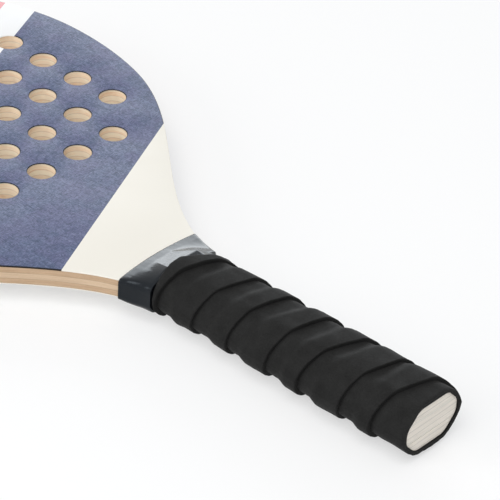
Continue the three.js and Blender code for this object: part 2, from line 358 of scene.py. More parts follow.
def mark_holes(bm):
    """Gives the walls of the holes, which are bare drilled wood, the second material. That material
    is the wood painted much paler, as painted light inside the holes.
    """
    holes = [Vector(place) for place in hole_places()]
    for face in bm.faces:
        if abs(face.normal.z) < WALL_TILT:
            middle = face.calc_center_median().xy
            if min((middle - hole).length for hole in holes) < HOLE_RADIUS + SOFT_EDGE:
                face.material_index = 1


def core_ply(bottom, top):
    own_half_width = handle_half_width(top)
    bm = flat_blade(bottom, own_half_width)
    raise_faces(bm, top - bottom)
    bmesh.ops.recalc_face_normals(bm, faces=bm.faces)
    fit_handle(bm, own_half_width, corner_levels(bottom, top))
    mark_holes(bm)
    return bm


def face_veneer():
    """The veneer with its print. Its upper edges, at the holes too, are sanded round."""
    own_half_width = handle_half_width(BLADE_TOP)
    bm = flat_blade(VENEER_BOTTOM, own_half_width)
    top = raise_faces(bm, BLADE_TOP - VENEER_BOTTOM - SOFT_EDGE)
    bmesh.ops.recalc_face_normals(bm, faces=bm.faces)
    mark_holes(bm)
    for slice_number in range(SOFT_EDGE_SLICES):
        before = QUARTER_TURN * slice_number / SOFT_EDGE_SLICES
        after = QUARTER_TURN * (slice_number + 1) / SOFT_EDGE_SLICES
        bmesh.ops.inset_region(
            bm,
            faces=top,
            use_boundary=True,
            use_even_offset=True,
            thickness=SOFT_EDGE * (math.cos(before) - math.cos(after)),
            depth=SOFT_EDGE * (math.sin(after) - math.sin(before)),
        )
    fit_handle(bm, own_half_width, corner_levels(VENEER_BOTTOM, BLADE_TOP))
    return bm


def make_blade(woods, prints):
    middle = core_ply(-MIDDLE_PLY_TOP, MIDDLE_PLY_TOP)
    # Each piece's second material paints its hole walls paler, as painted light inside the holes.
    materials = [woods["light"], woods["light_hole_painted_lit"]]
    finish_piece("middle_ply", middle, materials, ["middle_core_ply"])
    for side in ("front", "back"):
        core = core_ply(MIDDLE_PLY_TOP, VENEER_BOTTOM)
        veneer = face_veneer()
        if side == "back":
            turn_over(core)
            turn_over(veneer)
        materials = [woods["dark"], woods["dark_hole_painted_lit"]]
        finish_piece(f"{side}_ply", core, materials, [f"{side}_core_ply"])
        materials = [prints[side], woods["light_hole_painted_lit"]]
        nodes = [f"{side}_face_veneer"]
        finish_piece(f"{side}_printed_face", veneer, materials, nodes)


# Handle cheeks


def cheek_ply(bottom, top):
    """One ply of a cheek: a plank with the octagon's sides, cut to its share of the nose."""
    own_half_width = handle_half_width(top)
    middle = ((RAMP_FOOT_X + BUTT_X) / 2, 0, (bottom + top) / 2)
    size = (BUTT_X - RAMP_FOOT_X, 2 * own_half_width, top - bottom)
    bm = bmesh.new()
    bmesh.ops.create_cube(bm, size=1)
    bmesh.ops.scale(bm, vec=size, verts=bm.verts)
    bmesh.ops.translate(bm, vec=middle, verts=bm.verts)
    for level in corner_levels(bottom, top):
        bmesh.ops.bisect_plane(
            bm, geom=everything(bm), plane_co=(0, 0, level), plane_no=(0, 0, 1)
        )
    for vert in bm.verts:
        vert.co.y = math.copysign(handle_half_width(vert.co.z), vert.co.y)
    rise = HANDLE_TOP - BLADE_TOP
    ramp_foot = Vector((RAMP_FOOT_X, 0, BLADE_TOP))
    cut_away(bm, ramp_foot, Vector((-rise, 0, RAMP_LENGTH)))
    for side in (1, -1):
        low_corner = Vector((RAMP_TOP_X, side * HANDLE_HALF_WIDTH, CHAMFER_BOTTOM))
        high_corner = Vector((RAMP_TOP_X, side * CHAMFER_TOP_Y, HANDLE_TOP))
        nose = Vector((RAMP_FOOT_X, side * NOSE_HALF_WIDTH, BLADE_TOP))
        outward = (high_corner - nose).cross(low_corner - nose) * side
        cut_away(bm, nose, outward if outward.y * side > 0 else -outward)
    return bm


def make_cheeks(woods):
    plies = [
        ("inner", BLADE_TOP, CHEEK_INNER_TOP, "light"),
        ("middle", CHEEK_INNER_TOP, CHEEK_MIDDLE_TOP, "dark"),
        ("outer", CHEEK_MIDDLE_TOP, HANDLE_TOP, "light"),
    ]
    for side in ("front", "back"):
        for layer, bottom, top, wood in plies:
            bm = cheek_ply(bottom, top)
            if side == "back":
                turn_over(bm)
            name = f"{side}_cheek_{layer}"
            finish_piece(name, bm, [woods[wood]], [f"{name}_ply"])


# Sections round the neck and the handle


def round_corners(edge, crease, edge_rounding, crease_rounding):
    """The two rounded corners of a quarter section, its outer edge and its crease near the top.

    Each is the centre of the rounding, the rounding and the directions that it runs between.
    """
    edge_y, edge_z = edge
    crease_y, crease_z = crease
    turn = QUARTER_TURN - math.atan2(crease_z - edge_z, edge_y - crease_y)
    corners = []
    for y, z, rounding, low, high in (
        (edge_y, edge_z, edge_rounding, 0, turn),
        (crease_y, crease_z, crease_rounding, turn, QUARTER_TURN),
    ):
        middle = (low + high) / 2
        inset = rounding / math.cos((high - low) / 2)
        corners.append((
            y - inset * math.cos(middle), z - inset * math.sin(middle), rounding, low, high
        ))
    return corners


def whole_section(front, back):
    """An eight-sided section from its quarters, from the -Y edge over the front and back round."""
    section = []
    for y, z, rounding, low, high in front:
        section.append((-y, z, rounding, HALF_TURN - low, HALF_TURN - high))
    for y, z, rounding, low, high in reversed(front):
        section.append((y, z, rounding, high, low))
    for y, z, rounding, low, high in back:
        section.append((y, -z, rounding, -low, -high))
    for y, z, rounding, low, high in reversed(back):
        section.append((-y, -z, rounding, high - HALF_TURN, low - HALF_TURN))
    return section


def section_point(section, place, height):
    """A point on a section. Whole numbers of place are corners' starts, halves are their ends."""
    corner = int(place) % HANDLE_SIDES
    share = place - int(place)
    y, z, rounding, start, end = section[corner]
    if share < 0.5:
        angle = start + (end - start) * 2 * share
        reach = rounding + height
    else:
        next_y, next_z, next_rounding, _, _ = section[(corner + 1) % HANDLE_SIDES]
        along = 2 * share - 1
        y += (next_y - y) * along
        z += (next_z - z) * along
        angle = end
        reach = rounding + (next_rounding - rounding) * along + height
    return y + reach * math.cos(angle), z + reach * math.sin(angle)


def map_grid(columns, rows, place_at):
    """A grid of faces laid over a closed surface. place_at gives a point for two shares of it."""
    bm = bmesh.new()
    bmesh.ops.create_grid(bm, x_segments=columns, y_segments=rows, size=0.5)
    for vert in bm.verts:
        vert.co = place_at(vert.co.x + 0.5, vert.co.y + 0.5)
    bmesh.ops.remove_doubles(bm, verts=bm.verts, dist=MERGE_DISTANCE)
    return bm


# Neck tape

NECK_TAPE_THICKNESS = 0.4
NECK_TAPE_GAP = 0.05
NECK_TAPE_END_X = 93
NECK_EDGE_ROUNDING = 1.3
SHOULDER_EDGE_ROUNDING = 3.8
SHOULDER_SWELL = 0.5
SHOULDER_SWELL_LENGTH = 4.5
FOOT_BRIDGE = 3
NECK_CREASE_ROUNDING = 0.8
BACK_EDGE_SWELL = 1.75
SWELL_START_X = TAPE_FRONT_X - 2.5
SWELL_END_X = TAPE_FRONT_X + 10
SHOULDER_DROP = 0.25
FAR_SHOULDER_SLOPE = 6
LEAST_RISE = 0.04  # from the tape's edge to its crease

# The tape's front edge was laid by hand: it bows towards the head and leans at the -Y side.
FRONT_BOW = 1.1
FRONT_BOW_BACK = 1.3
FRONT_LEAN = 0.6
CORNER_STEPS = 5
FLAT_STEPS = 12
HANDLE_STEPS = 10
NECK_STEPS = 26


def neck_section(x, far_side):
    """The section that the tape follows: the neck with its noses, then the handle's octagon.

    The tape spans the foot of the noses, where it isn't pressed down, and lies loosely
    over the edges, most of all on the back.
    """
    from_front = (x - TAPE_FRONT_X) / (RAMP_FOOT_X + FOOT_BRIDGE - TAPE_FRONT_X)
    spanned = FOOT_BRIDGE / RAMP_LENGTH * min(1, from_front)
    climbed = min(1, max(spanned, (x - RAMP_FOOT_X) / RAMP_LENGTH))
    crease = blend(NOSE_HALF_WIDTH, CHAMFER_TOP_Y, climbed)
    top = blend(BLADE_TOP + LEAST_RISE, HANDLE_TOP, climbed)
    slope = FAR_SHOULDER_SLOPE if far_side else SHOULDER_DROP
    dropped = min(1, max(0, (x - SHOULDER_X - NECK_TAPE_GAP) / slope))
    half_width = blend(neck_half_width(x), HANDLE_HALF_WIDTH, dropped)
    loosened = smoothstep(x, TAPE_FRONT_X, SHOULDER_X)
    edge_rounding = blend(NECK_EDGE_ROUNDING, SHOULDER_EDGE_ROUNDING, loosened)
    front_swell = SHOULDER_SWELL * min(1, (x - TAPE_FRONT_X) / SHOULDER_SWELL_LENGTH)
    back_swell = BACK_EDGE_SWELL * smoothstep(x, SWELL_START_X, SWELL_END_X)
    if far_side:
        edge_rounding = NECK_EDGE_ROUNDING
    else:
        half_width += front_swell * (1 - dropped)
    quarters = []
    for swell in (front_swell, back_swell):
        edge_top = BLADE_TOP + swell
        quarters.append(round_corners(
            (half_width, blend(edge_top, CHAMFER_BOTTOM, dropped)),
            (crease, max(top, edge_top + LEAST_RISE)),
            blend(edge_rounding, HANDLE_ROUNDING, dropped),
            blend(NECK_CREASE_ROUNDING, HANDLE_ROUNDING, dropped),
        ))
    return whole_section(*quarters)


def make_neck_tape(material):
    steps_per_side = CORNER_STEPS + FLAT_STEPS
    neck_length = SHOULDER_X + NECK_TAPE_GAP - TAPE_FRONT_X
    under_grip_x = SHOULDER_X + NECK_TAPE_GAP + SHOULDER_DROP
    stations = [TAPE_FRONT_X + neck_length * step / NECK_STEPS for step in range(NECK_STEPS + 1)]
    for step in range(HANDLE_STEPS + 1):
        stations.append(blend(under_grip_x, NECK_TAPE_END_X, step / HANDLE_STEPS))

    def place_at(share, along):
        x = stations[round(along * (len(stations) - 1))]
        side, rest = divmod(share * HANDLE_SIDES * steps_per_side, steps_per_side)
        if rest < CORNER_STEPS:
            place = side + rest / CORNER_STEPS / 2
        else:
            place = side + (1 + (rest - CORNER_STEPS) / FLAT_STEPS) / 2
        on_far_side = HANDLE_SIDES / 4 <= place < HANDLE_SIDES * 3 / 4
        section = neck_section(x, on_far_side)
        y, z = section_point(section, place, NECK_TAPE_GAP + NECK_TAPE_THICKNESS)
        across = y / NECK_HALF_WIDTH
        bow = FRONT_BOW_BACK * across**2 - FRONT_LEAN * across - FRONT_BOW
        front_share = max(0, 1 - (x - TAPE_FRONT_X) / neck_length)
        return Vector((x + bow * front_share, y, z))

    steps_round = HANDLE_SIDES * steps_per_side
    bm = map_grid(steps_round, len(stations) - 1, place_at)
    tape = finish_piece(
        "neck_wrap", bm, [material], ["neck_tape"], sharp_degrees=50
    )
    wall = tape.modifiers.new("wall", "SOLIDIFY")
    wall.thickness = NECK_TAPE_THICKNESS * MM
    wall.offset = -1


# Grip

GRIP_WIDTH = 30
GRIP_PITCH = 21
GRIP_THICKNESS = 1.9
GRIP_EDGE_ROUNDING = 0.45
GRIP_STEPS_PER_TURN = 128
GRIP_STATION = 0.8
GRIP_EDGE_STATIONS = (0, 0.05, 0.2, 0.45)
PLACES_PER_SIDE = 16

# The strip is pressed thinner where the turn before covers it, and is uneven where it shows.
GRIP_COVERED_THICKNESS = 1.45
COVER_EASE_BEFORE = 6
COVER_EASE_AFTER = 1
GRIP_CROWN = 0.3
GRIP_RELIEF = 0.3
RELIEF_LENGTH = 10
RELIEFS_PER_TURN = 10

# The strip lies on the wood or on the neck tape, and climbs onto the next turn's front.
GRIP_GAP = 0.1
GRIP_GAP_OVER_TAPE = 0.5
GAP_EASE_LENGTH = 3
GRIP_LIFT = 1.65
GRIP_CLIMB = 6

# Near the neck the strip was pulled tighter, so that it lies flatter.
TIGHT_SHARE = 0.86
TIGHT_END_X = 90
EASY_START_X = 165

# The winding, counted in turns from the middle of the -Y side
FIRST_TURN = 0.75
LAST_TURN = 8.6
GRIP_FRONT_X = SHOULDER_X + 0.35
GRIP_END_X = BUTT_X + 0.8
GRIP_FRONT_ROUNDING = 1.3
GRIP_BUTT_ROUNDING = 0.35
FIRST_LAP_DISTANCE = 3.5
LEAN = 1.7
LEAN_TURN = 0.44
WANDER = 0.5
WANDERS_PER_TURN = 6
WANDER_ROW = 3
# How far every half turn, wound by hand, lies from an even winding
HALF_TURN_DRIFTS = (
    0, 0, 0.2, 1.6, 0.3, 0.2, -0.3, -1.4, 1.5, -0.6, -1.4, 1.6, 1.2, -0.2, -2.5, -2.8, 1.5, -8, -8
)

# The strip's tail at the neck is doubled and cut at a slant. Below the neck it is a wider lip.
TAIL_SLANT = Vector((-1, 0.62, 0.35))
TAIL_CORNER = Vector((GRIP_FRONT_X, -2, 13))
TAIL_THICKENING = 1
TAIL_FULL_TURN = 1.24
TAIL_END_TURN = 1.38
LIP_WIDENING = 1.0
LIP_THICKENING = 0.35
LIP_FULL_TURN = 0.86
LIP_END_TURN = 0.97

# At the butt the last lap is pulled wide, so that it runs off the end, and is pressed flat there.
BUTT_STRETCH = 0.22
BUTT_STRETCH_TURN = 7.38
BUTT_RUN_OFF_TURN = 7.55
BUTT_PRESS_LENGTH = 7
PRESSED_THICKNESS = 0.15
PRESSED_LIFT = 0.3
LAST_DROP_TURNS = 0.2

GRIP_QUARTER = round_corners(
    (HANDLE_HALF_WIDTH, CHAMFER_BOTTOM),
    (CHAMFER_TOP_Y, HANDLE_TOP),
    HANDLE_ROUNDING,
    HANDLE_ROUNDING,
)
GRIP_SECTION = whole_section(GRIP_QUARTER, GRIP_QUARTER)


def rounding_fall(distance, rounding):
    """How far a rounded edge falls below a surface at a distance from its end."""
    left = rounding - min(rounding, max(0, distance))
    return rounding - math.sqrt(rounding**2 - left**2)


def strip_section():
    """Distances from the strip's front edge with shares of its thickness, once round it."""
    steps = round(GRIP_WIDTH / GRIP_STATION)
    stations = list(GRIP_EDGE_STATIONS)
    stations += [GRIP_STATION * step for step in range(1, steps)]
    stations += [GRIP_WIDTH - distance for distance in reversed(GRIP_EDGE_STATIONS)]
    outer = []
    for along in stations:
        fall = rounding_fall(min(along, GRIP_WIDTH - along), GRIP_EDGE_ROUNDING)
        outer.append((along, 1 - fall / GRIP_THICKNESS))
    inner = [(along, 0) for along in reversed(stations[::2])]
    return outer + inner + outer[:1]


def places_round(section, height):
    """Places round a section with the lengths that lead up to them."""
    places = [step / PLACES_PER_SIDE for step in range(HANDLE_SIDES * PLACES_PER_SIDE + 1)]
    points = [Vector(section_point(section, place, height)) for place in places]
    lengths = [0]
    for here, there in zip(points, points[1:]):
        lengths.append(lengths[-1] + (there - here).length)
    return places, lengths


def lip_share(wound):
    return 1 - smoothstep(wound, LIP_FULL_TURN, LIP_END_TURN)


def stretched_share(wound):
    return smoothstep(wound, BUTT_STRETCH_TURN, BUTT_RUN_OFF_TURN)


def drift(wound):
    """How far a place of the winding lies from an even winding that isn't leaning."""
    before = min(int(2 * wound), len(HALF_TURN_DRIFTS) - 2)
    share = smoothstep(2 * wound - before, 0, 1)
    value = blend(HALF_TURN_DRIFTS[before], HALF_TURN_DRIFTS[before + 1], share)
    value += LIP_WIDENING * lip_share(wound)
    return value + WANDER * noise(Vector((wound * WANDERS_PER_TURN, WANDER_ROW, 0)))


def strip_front(wound):
    """Where the strip's front edge lies along the handle."""
    lean = LEAN * math.cos(FULL_TURN * (wound - LEAN_TURN))
    even = GRIP_FRONT_X + FIRST_LAP_DISTANCE - GRIP_WIDTH + GRIP_PITCH * (wound - 1)
    return even + lean + drift(wound)


def strip_lift(wound, reach, pressed):
    """How far the strip is raised by the next turn, which lies below it."""
    next_front = GRIP_PITCH + drift(wound + 1) - drift(wound)
    lift = GRIP_LIFT * smoothstep(reach, next_front - GRIP_CLIMB, next_front)
    lift = blend(lift, PRESSED_LIFT, pressed * stretched_share(wound))
    last = LAST_TURN - 1
    return lift * (1 - smoothstep(wound, last, last + LAST_DROP_TURNS))


def uncovered_share(wound, along):
    """How far a place of the strip lies clear of the turn before, which lies above it."""
    cover = GRIP_WIDTH * (1 + BUTT_STRETCH * stretched_share(wound - 1)) - GRIP_PITCH
    return smoothstep(along, cover - COVER_EASE_BEFORE, cover + COVER_EASE_AFTER)


def strip_thickness(wound, uncovered, pressed):
    thickness = blend(GRIP_COVERED_THICKNESS, GRIP_THICKNESS, uncovered)
    thickness += TAIL_THICKENING * (1 - smoothstep(wound, TAIL_FULL_TURN, TAIL_END_TURN))
    thickness += LIP_THICKENING * lip_share(wound)
    return blend(thickness, PRESSED_THICKNESS, pressed * stretched_share(wound - 1))


def crown_height(place):
    """The strip bulges a little over the octagon's flats, where the pull holds it less."""
    flat_share = place % 1 * 2 - 1
    if flat_share <= 0:
        return 0
    return GRIP_CROWN * (1 - (2 * flat_share - 1) ** 2)


def end_fall(x, y, z):
    """How far the grip's surface falls where it rounds over at the butt, the neck or the tail."""
    butt = rounding_fall(GRIP_END_X - x, GRIP_BUTT_ROUNDING)
    neck = rounding_fall(x - GRIP_FRONT_X, GRIP_FRONT_ROUNDING)
    beyond_tail = (TAIL_CORNER - Vector((x, y, z))).dot(TAIL_SLANT) / TAIL_SLANT.length
    return max(butt + neck, rounding_fall(beyond_tail, GRIP_FRONT_ROUNDING))


def make_grip(material):
    section = strip_section()
    places, lengths = places_round(GRIP_SECTION, GRIP_THICKNESS)
    # The middle of the -Y side is half a flat before the first corner.
    side_middle = round((HANDLE_SIDES - 0.25) * PLACES_PER_SIDE)
    start_share = 1 - lengths[side_middle] / lengths[-1]
    places_known = {}

    def place_of(wound):
        share = (wound - start_share) % 1
        if share not in places_known:
            wanted = share * lengths[-1]
            step = max(i for i, length in enumerate(lengths[:-1]) if length <= wanted)
            rest = (wanted - lengths[step]) / (lengths[step + 1] - lengths[step])
            places_known[share] = blend(places[step], places[step + 1], rest)
        return places_known[share]

    def place_at(section_share, wound_share):
        along, depth = section[round(section_share * (len(section) - 1))]
        wound = blend(FIRST_TURN, LAST_TURN, wound_share)
        place = place_of(wound)
        reach = along * (1 + BUTT_STRETCH * stretched_share(wound))
        x = strip_front(wound) + reach
        pressed = 1 - smoothstep(GRIP_END_X - x, 0, BUTT_PRESS_LENGTH)
        uncovered = uncovered_share(wound, along)
        lift = strip_lift(wound, reach, pressed)
        thickness = strip_thickness(wound, uncovered, pressed)
        crown = crown_height(place)
        relief = noise(Vector((x / RELIEF_LENGTH, wound * RELIEFS_PER_TURN, 0)))
        relief *= GRIP_RELIEF * uncovered
        over_wood = smoothstep(x, NECK_TAPE_END_X, NECK_TAPE_END_X + GAP_EASE_LENGTH)
        base = blend(GRIP_GAP_OVER_TAPE, GRIP_GAP, over_wood)
        pull = blend(TIGHT_SHARE, 1, smoothstep(x, TIGHT_END_X, EASY_START_X))
        inner = base + pull * lift + crown * min(1, lift / GRIP_LIFT)
        outer = base + pull * (lift + thickness) + crown + relief
        y, z = section_point(GRIP_SECTION, place, blend(inner, outer, depth))
        outer -= end_fall(x, y, z)
        y, z = section_point(GRIP_SECTION, place, blend(inner, outer, depth))
        return Vector((x, y, z))

    rows = round((LAST_TURN - FIRST_TURN) * GRIP_STEPS_PER_TURN)
    bm = map_grid(len(section) - 1, rows, place_at)
    bmesh.ops.holes_fill(bm, edges=[edge for edge in bm.edges if edge.is_boundary])
    cut_away(bm, (GRIP_FRONT_X, 0, 0), (-1, 0, 0))
    cut_away(bm, TAIL_CORNER, TAIL_SLANT)
    cut_away(bm, (GRIP_END_X, 0, 0), (1, 0, 0))
    grip = finish_piece(
        "wound_grip", bm, [material], ["grip_tape"], sharp_degrees=55
    )


# Materials

# The printed bands' colours, and where each band starts across their slant
INDIGO_DARK = (0.066, 0.091, 0.167, 1)
INDIGO_LIGHT = (0.131, 0.162, 0.270, 1)
INDIGO_VIOLET = (0.132, 0.126, 0.245, 1)
# INDIGO_EDGE is near-black, drawn wherever the indigo band lies below its flat top: its rounded rim
# and the veneer's side at the blade's edges.
INDIGO_EDGE = (0.003, 0.003, 0.004, 1)
SCUFF_DARK = (0.040, 0.050, 0.095, 1)
SCUFF_PALE = (0.230, 0.250, 0.370, 1)
CREAM = (0.862, 0.826, 0.745, 1)
WHITE = (0.900, 0.900, 0.900, 1)
CORAL = (0.820, 0.350, 0.370, 1)
OFF = (0, 0, 0, 1)
ON = (1, 1, 1, 1)
CREAM_START = 23.3 * MM
INDIGO_START = -74.2 * MM
WHITE_START = -91.5 * MM
STRIPE_ALONG = 0.9158
STRIPE_ACROSS = 0.4015
STRIPE_REACH = 0.12

# The darker and the paler colour of each wood's grain
LIGHT_PLY = ((0.540, 0.385, 0.255, 1), (0.710, 0.540, 0.375, 1))
DARK_PLY = ((0.450, 0.300, 0.185, 1), (0.620, 0.440, 0.290, 1))
# The hole walls' woods are the plies' woods painted much paler: painted light for the light that
# reaches into the holes.
HOLE_LIGHT_PLY_PAINTED_LIT = ((1.000, 0.810, 0.610, 1), (1.000, 0.935, 0.770, 1))
HOLE_DARK_PLY_PAINTED_LIT = ((0.900, 0.620, 0.400, 1), (1.000, 0.935, 0.770, 1))
BARE_END = ((0.768, 0.712, 0.636, 1), (0.960, 0.890, 0.795, 1))
BARE_END_START = (BUTT_X - 0.5) * MM
BARE_END_FULL = (BUTT_X - 0.2) * MM

# How much the glue shows between the plies, how dark it is and how thick
PLY_GLUE = 0.28
DRILLED_GLUE = 0.4
BARE_END_GLUE = 0.5
GLUE_TONE = 0.45
GLUE_LINE = 0.12 * MM

TAPE_DARK = (0.004, 0.0045, 0.006, 1)
TAPE_LIGHT = (0.007, 0.008, 0.010, 1)
TAPE_TINT = (0.80, 0.91, 1.0, 1)
FOAM_DARK = (0.0055, 0.0055, 0.0053, 1)
FOAM_LIGHT = (0.0110, 0.0110, 0.0107, 1)

# Specular levels, and each surface's bump as a strength and a distance in metres
WOOD_SHINE = 0.3
PRINT_SHINE = 0.22
TAPE_SHINE = 0.27
FOAM_SHINE = 0.22
WOOD_BUMP = (0.35, 0.00012)
PRINT_BUMP = (0.3, 0.00012)
TAPE_BUMP = (0.5, 0.0004)
FOAM_BUMP = (0.4, 0.00025)

# How fine each pattern is along X, Y and Z, per metre
WOOD_STREAKS = (60, 60, 2600)
WOOD_FIGURE = (45, 45, 620)
WOOD_PORES = (700, 700, 3500)
PRINT_LENGTHWAYS = (190, 560, 700)
PRINT_SIDEWAYS = (620, 210, 700)
PRINT_CLOUDS = (95, 95, 95)
PRINT_SCUFFS = ((230, 980, 800), (980, 280, 800))
TAPE_WRINKLES = (70, 200, 200)
TAPE_STRETCH = (900, 120, 120)
FOAM_CELLS = (1500, 1500, 1500)
FOAM_WEAR = (160, 160, 160)


class Nodes:
    """Adds nodes to one material in short calls."""

    def __init__(self, name):
        self.material = bpy.data.materials.new(name)
        self.material.use_nodes = True
        self.tree = self.material.node_tree
        self.shader = self.tree.nodes["Principled BSDF"]

    def add(self, kind, inputs=(), **settings):
        node = self.tree.nodes.new(kind)
        for name, value in settings.items():
            setattr(node, name, value)
        for key, value in dict(inputs).items():
            if isinstance(value, bpy.types.NodeSocket):
                self.tree.links.new(value, node.inputs[key])
            else:
                node.inputs[key].default_value = value
        return node

    def place(self):
        """The piece's own coordinates in metres."""
        return self.add("ShaderNodeTexCoord").outputs["Object"]

    def pattern(self, fineness, detail=3.0, roughness=0.5, distortion=0.0):
        scaled = self.add("ShaderNodeMapping", {"Vector": self.place(), "Scale": fineness})
        inputs = {"Vector": scaled.outputs["Vector"], "Scale": 1.0, "Detail": detail}
        inputs.update({"Roughness": roughness, "Distortion": distortion})
        return self.add("ShaderNodeTexNoise", inputs).outputs["Fac"]

    def spread(self, value, low, high, new_low=0.0, new_high=1.0):
        inputs = {0: value, 1: low, 2: high, 3: new_low, 4: new_high}
        return self.add("ShaderNodeMapRange", inputs).outputs[0]

    def sum(self, first, second):
        return self.add("ShaderNodeMath", {0: first, 1: second}, operation="ADD").outputs[0]

    def times(self, first, second):
        return self.add("ShaderNodeMath", {0: first, 1: second}, operation="MULTIPLY").outputs[0]

    def mix(self, share, first, second):
        inputs = {0: share, 6: first, 7: second}
        return self.add("ShaderNodeMix", inputs, data_type="RGBA").outputs[2]

    def bands(self, value, stops):
        """Flat bands of colour, each from its stop up to the next."""
        node = self.add("ShaderNodeValToRGB", {"Fac": value})
        node.color_ramp.interpolation = "CONSTANT"
        elements = node.color_ramp.elements
        while len(elements) < len(stops):
            elements.new(1.0)
        for element, (position, colour) in zip(elements, stops):
            element.position = position
            element.color = colour
        return node.outputs["Color"]

    def finish(self, colour, roughness, shine, height, bump):
        strength, distance = bump
        inputs = {"Height": height, "Strength": strength, "Distance": distance}
        normal = self.add("ShaderNodeBump", inputs).outputs["Normal"]
        self.tree.links.new(colour, self.shader.inputs["Base Color"])
        self.tree.links.new(roughness, self.shader.inputs["Roughness"])
        self.tree.links.new(normal, self.shader.inputs["Normal"])
        self.shader.inputs["Specular IOR Level"].default_value = shine
        return self.material


def level_above_middle(nodes):
    """The distance from the racket's middle plane, in metres."""
    height = nodes.add("ShaderNodeSeparateXYZ", {0: nodes.place()}).outputs["Z"]
    return nodes.add("ShaderNodeMath", {0: height}, operation="ABSOLUTE").outputs[0]


def wood_colour(nodes, dark, light, glue_share):
    """Streaks that run along the ply, with fine pores, and darker glue between the plies."""
    streaks = nodes.pattern(WOOD_STREAKS, 5.0, 0.6)
    figure = nodes.pattern(WOOD_FIGURE, 3.0, 0.5, 0.8)
    pores = nodes.pattern(WOOD_PORES, 2.0)
    share = nodes.sum(nodes.times(streaks, 0.5), nodes.times(pores, 0.2))
    share = nodes.sum(share, nodes.times(figure, 0.3))
    colour = nodes.mix(nodes.spread(share, 0.36, 0.64), dark, light)
    level = level_above_middle(nodes)
    for joint in (MIDDLE_PLY_TOP, VENEER_BOTTOM, CHEEK_INNER_TOP, CHEEK_MIDDLE_TOP):
        away = nodes.add("ShaderNodeMath", {0: level, 1: joint * MM}, operation="SUBTRACT")
        away = nodes.add("ShaderNodeMath", {0: away.outputs[0]}, operation="ABSOLUTE").outputs[0]
        glued = nodes.spread(away, GLUE_LINE / 2, GLUE_LINE * 2, glue_share, 0.0)
        colour = nodes.mix(glued, colour, tuple(GLUE_TONE * part for part in dark))
    return colour, share


def make_wood(name, grain, glue_share):
    """Wood whose end at the butt is bare and paler."""
    nodes = Nodes(name)
    colour, share = wood_colour(nodes, *grain, glue_share)
    end_colour, _ = wood_colour(nodes, *BARE_END, BARE_END_GLUE)
    along = nodes.add("ShaderNodeSeparateXYZ", {0: nodes.place()}).outputs["X"]
    at_butt = nodes.spread(along, BARE_END_START, BARE_END_FULL)
    colour = nodes.mix(at_butt, colour, end_colour)
    roughness = nodes.spread(share, 0.3, 0.7, 0.75, 0.6)
    return nodes.finish(colour, roughness, WOOD_SHINE, share, WOOD_BUMP)


def make_print(side):
    """Slanting bands of lacquered colour, the same on each face as seen from its own side."""
    nodes = Nodes(f"{side}_print")
    across = STRIPE_ACROSS if side == "front" else -STRIPE_ACROSS
    slant = nodes.add(
        "ShaderNodeVectorMath",
        {0: nodes.place(), 1: Vector((STRIPE_ALONG, across, 0))},
        operation="DOT_PRODUCT",
    ).outputs["Value"]
    share = nodes.spread(slant, -STRIPE_REACH, STRIPE_REACH)

    def stop(distance):
        return (distance + STRIPE_REACH) / (2 * STRIPE_REACH)

    plain = nodes.bands(share, [(0, CORAL), (stop(WHITE_START), WHITE), (stop(CREAM_START), CREAM)])
    is_indigo = nodes.bands(share, [(0, OFF), (stop(INDIGO_START), ON), (stop(CREAM_START), OFF)])
    lengthways = nodes.pattern(PRINT_LENGTHWAYS, 3.0, 0.6, 1.5)
    sideways = nodes.pattern(PRINT_SIDEWAYS, 3.0, 0.6, 1.5)
    mottle = nodes.sum(nodes.times(lengthways, 0.5), nodes.times(sideways, 0.5))
    indigo = nodes.mix(nodes.spread(mottle, 0.40, 0.60), INDIGO_DARK, INDIGO_LIGHT)
    violet = nodes.spread(nodes.pattern(PRINT_CLOUDS, 3.0), 0.44, 0.60, 0.0, 0.45)
    indigo = nodes.mix(violet, indigo, INDIGO_VIOLET)
    for direction in PRINT_SCUFFS:
        scuffs = nodes.pattern(direction, 2.0, 0.5, 2.5)
        indigo = nodes.mix(nodes.spread(scuffs, 0.56, 0.63, 0.0, 0.60), indigo, SCUFF_DARK)
        indigo = nodes.mix(nodes.spread(scuffs, 0.42, 0.36, 0.0, 0.40), indigo, SCUFF_PALE)
    level = level_above_middle(nodes)
    print_top = BLADE_TOP * MM
    # Below its flat top the indigo band is drawn near-black: its rounded rim, round the holes too,
    # and the veneer's side.
    on_top = nodes.spread(level, print_top - SOFT_EDGE * MM / 20, print_top - SOFT_EDGE * MM / 40)
    indigo = nodes.mix(on_top, INDIGO_EDGE, indigo)
    colour = nodes.mix(is_indigo, plain, indigo)
    roughness = nodes.spread(mottle, 0.3, 0.7, 0.55, 0.42)
    return nodes.finish(colour, roughness, PRINT_SHINE, mottle, PRINT_BUMP)


def make_tape_material():
    nodes = Nodes("glossy_neck_tape")
    wrinkles = nodes.pattern(TAPE_WRINKLES, 2.0)
    stretch = nodes.pattern(TAPE_STRETCH, 3.0)
    height = nodes.sum(wrinkles, nodes.times(stretch, 0.03))
    colour = nodes.mix(stretch, TAPE_DARK, TAPE_LIGHT)
    roughness = nodes.spread(stretch, 0.3, 0.7, 0.13, 0.21)
    nodes.shader.inputs["Specular Tint"].default_value = TAPE_TINT
    return nodes.finish(colour, roughness, TAPE_SHINE, height, TAPE_BUMP)


def make_grip_material():
    nodes = Nodes("grip_foam")
    cells = nodes.pattern(FOAM_CELLS, 4.0, 0.65)
    wear = nodes.pattern(FOAM_WEAR, 3.0)
    share = nodes.sum(nodes.times(cells, 0.6), nodes.times(wear, 0.4))
    colour = nodes.mix(nodes.spread(share, 0.35, 0.65), FOAM_DARK, FOAM_LIGHT)
    roughness = nodes.spread(share, 0.3, 0.7, 0.9, 0.72)
    return nodes.finish(colour, roughness, FOAM_SHINE, share, FOAM_BUMP)


